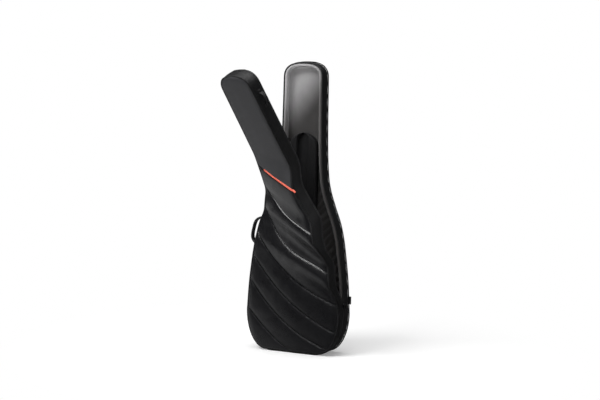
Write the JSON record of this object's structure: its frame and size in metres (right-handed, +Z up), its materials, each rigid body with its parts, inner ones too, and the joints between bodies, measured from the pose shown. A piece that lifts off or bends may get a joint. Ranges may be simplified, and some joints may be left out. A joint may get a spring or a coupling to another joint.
{
  "type": "guitar gig bag",
  "caption": "Padded soft case for a guitar, standing on a rubber sole with its quilted front lid folded open along a diagonal, with neck cradle, side handle and back straps.",
  "frame": {"origin": "the middle of the rubber sole on the face it stands on", "axes": "+Z up along the bag, -Y out of the front lid, +Y out of the back, +X to the right seen from the front"},
  "size_m": [0.4066, 0.4153, 1.0883],
  "materials": {
    "outer_fabric": "tight black weave with a satin coating, quilted",
    "wall_fabric": "matte black weave",
    "lining_plush": "grey plush pile",
    "board_foam": "closed-cell foam under cloth",
    "cradle_foam": "matte black moulded foam",
    "sole_rubber": "matte black moulded rubber",
    "webbing": "black woven webbing",
    "zip": "black coil zip on woven tape",
    "slider_metal": "black lacquer, satin",
    "pull_rubber": "black moulded rubber",
    "strap_padding": "black mesh over foam",
    "buckle_plastic": "black moulded acetal",
    "ring_metal": "black lacquered wire",
    "coral_trim": "coral piping"
  },
  "bodies": {
    "root": {"back_binding": "webbing", "back_foam_board": "board_foam", "back_lining": "lining_plush", "back_panel": "outer_fabric", "closed_zip": "zip", "end_bumper": "board_foam", "handle_anchor_lower": "webbing", "handle_anchor_upper": "webbing", "lid_lining_lower": "lining_plush", "lid_panel_lower": "outer_fabric", "lid_wall_lower": "wall_fabric", "lower_ring_left": "ring_metal", "lower_ring_right": "ring_metal", "lower_ring_tab_left": "webbing", "lower_ring_tab_right": "webbing", "neck_cradle": "cradle_foam", "rubber_sole": "sole_rubber", "shell_wall_bottom": "wall_fabric", "shell_wall_left": "wall_fabric", "shell_wall_neck": "wall_fabric", "shell_wall_right": "wall_fabric", "shell_zip_half": "zip", "shoulder_strap_left": "strap_padding", "shoulder_strap_right": "strap_padding", "strap_top_anchor": "webbing", "strap_webbing_left": "webbing", "strap_webbing_right": "webbing", "wall_lining": "lining_plush"},
    "lid_waist": {"lid_panel_waist": "outer_fabric", "lid_lining_waist": "lining_plush", "lid_wall_waist_right": "wall_fabric", "lid_wall_waist_left": "wall_fabric", "lid_zip_waist_right": "zip", "lid_zip_waist_left": "zip"},
    "lid_middle": {"lid_panel_middle": "outer_fabric", "lid_lining_middle": "lining_plush", "lid_wall_middle_right": "wall_fabric", "lid_wall_middle_left": "wall_fabric", "lid_zip_middle_right": "zip", "lid_zip_middle_left": "zip"},
    "lid_upper": {"lid_panel_upper": "outer_fabric", "lid_lining_upper": "lining_plush", "lid_wall_upper_right": "wall_fabric", "lid_wall_upper_left": "wall_fabric", "lid_zip_upper_right": "zip", "lid_zip_upper_left": "zip", "accent_strip": "coral_trim"},
    "lid_neck": {"lid_panel_neck": "outer_fabric", "lid_lining_neck": "lining_plush", "lid_wall_neck": "wall_fabric", "lid_zip_neck": "zip", "lid_pull_loop_right": "webbing", "lid_pull_loop_left": "webbing"},
    "slider_right": {"zip_slider_right": "slider_metal"},
    "pull_right": {"zip_pull_right": "pull_rubber"},
    "slider_left": {"zip_slider_left": "slider_metal"},
    "pull_left": {"zip_pull_left": "pull_rubber"},
    "handle": {"side_handle": "webbing"},
    "adjuster_right": {"strap_adjuster_right": "buckle_plastic"},
    "adjuster_left": {"strap_adjuster_left": "buckle_plastic"}
  },
  "joints": [
    {"name": "lid_waist_fold", "type": "hinge", "parent": "root", "child": "lid_waist", "pos_m": [-0.16189, -0.056, 0.41095], "axis": [-0.362, -0.0186, -0.932], "range_deg": [-10.77, 4.21]},
    {"name": "lid_middle_fold", "type": "hinge", "parent": "lid_waist", "child": "lid_middle", "pos_m": [-0.12901, -0.05378, 0.52844], "axis": [0.5991, -0.1681, -0.7828], "range_deg": [-23.99, 9.36]},
    {"name": "lid_upper_fold", "type": "hinge", "parent": "lid_middle", "child": "lid_upper", "pos_m": [-0.11139, -0.08131, 0.60867], "axis": [0.8651, -0.4415, -0.238], "range_deg": [-15.4, 6]},
    {"name": "lid_neck_fold", "type": "hinge", "parent": "lid_upper", "child": "lid_neck", "pos_m": [-0.12985, -0.14616, 0.74144], "axis": [0.2521, -0.6183, 0.7444], "range_deg": [-11.17, 4.36]},
    {"name": "right_slider_run", "type": "slide", "parent": "root", "child": "slider_right", "axis": [-0.0571, 0, 0.9984], "range_m": [-0.03, 0.05]},
    {"name": "right_pull_swing", "type": "hinge", "parent": "slider_right", "child": "pull_right", "pos_m": [0.19396, 0, 0.18683], "axis": [0, -1, 0], "range_deg": [0, 175]},
    {"name": "left_slider_run", "type": "slide", "parent": "root", "child": "slider_left", "axis": [0.1269, 0, 0.9919], "range_m": [-0.02, 0.02]},
    {"name": "left_pull_swing", "type": "hinge", "parent": "slider_left", "child": "pull_left", "pos_m": [-0.1805, 0, 0.33708], "axis": [0, 1, 0], "range_deg": [0, 175]},
    {"name": "handle_swing", "type": "hinge", "parent": "root", "child": "handle", "pos_m": [-0.16522, 0.028, 0.43934], "axis": [0.2111, 0, 0.9775], "range_deg": [-60, 60]},
    {"name": "right_adjuster_tilt", "type": "hinge", "parent": "root", "child": "adjuster_right", "pos_m": [0.10339, 0.0573, 0.31406], "axis": [0.9781, 0, 0.2082], "range_deg": [0, 30]},
    {"name": "left_adjuster_tilt", "type": "hinge", "parent": "root", "child": "adjuster_left", "pos_m": [-0.10339, 0.0573, 0.31406], "axis": [0.9781, 0, -0.2082], "range_deg": [0, 30]}
  ],
  "couplings": [
    {"joint": "lid_waist_fold", "follows": "lid_upper_fold", "ratio": 0.69776},
    {"joint": "lid_middle_fold", "follows": "lid_upper_fold", "ratio": 1.5563},
    {"joint": "lid_neck_fold", "follows": "lid_upper_fold", "ratio": 0.72362}
  ]
}
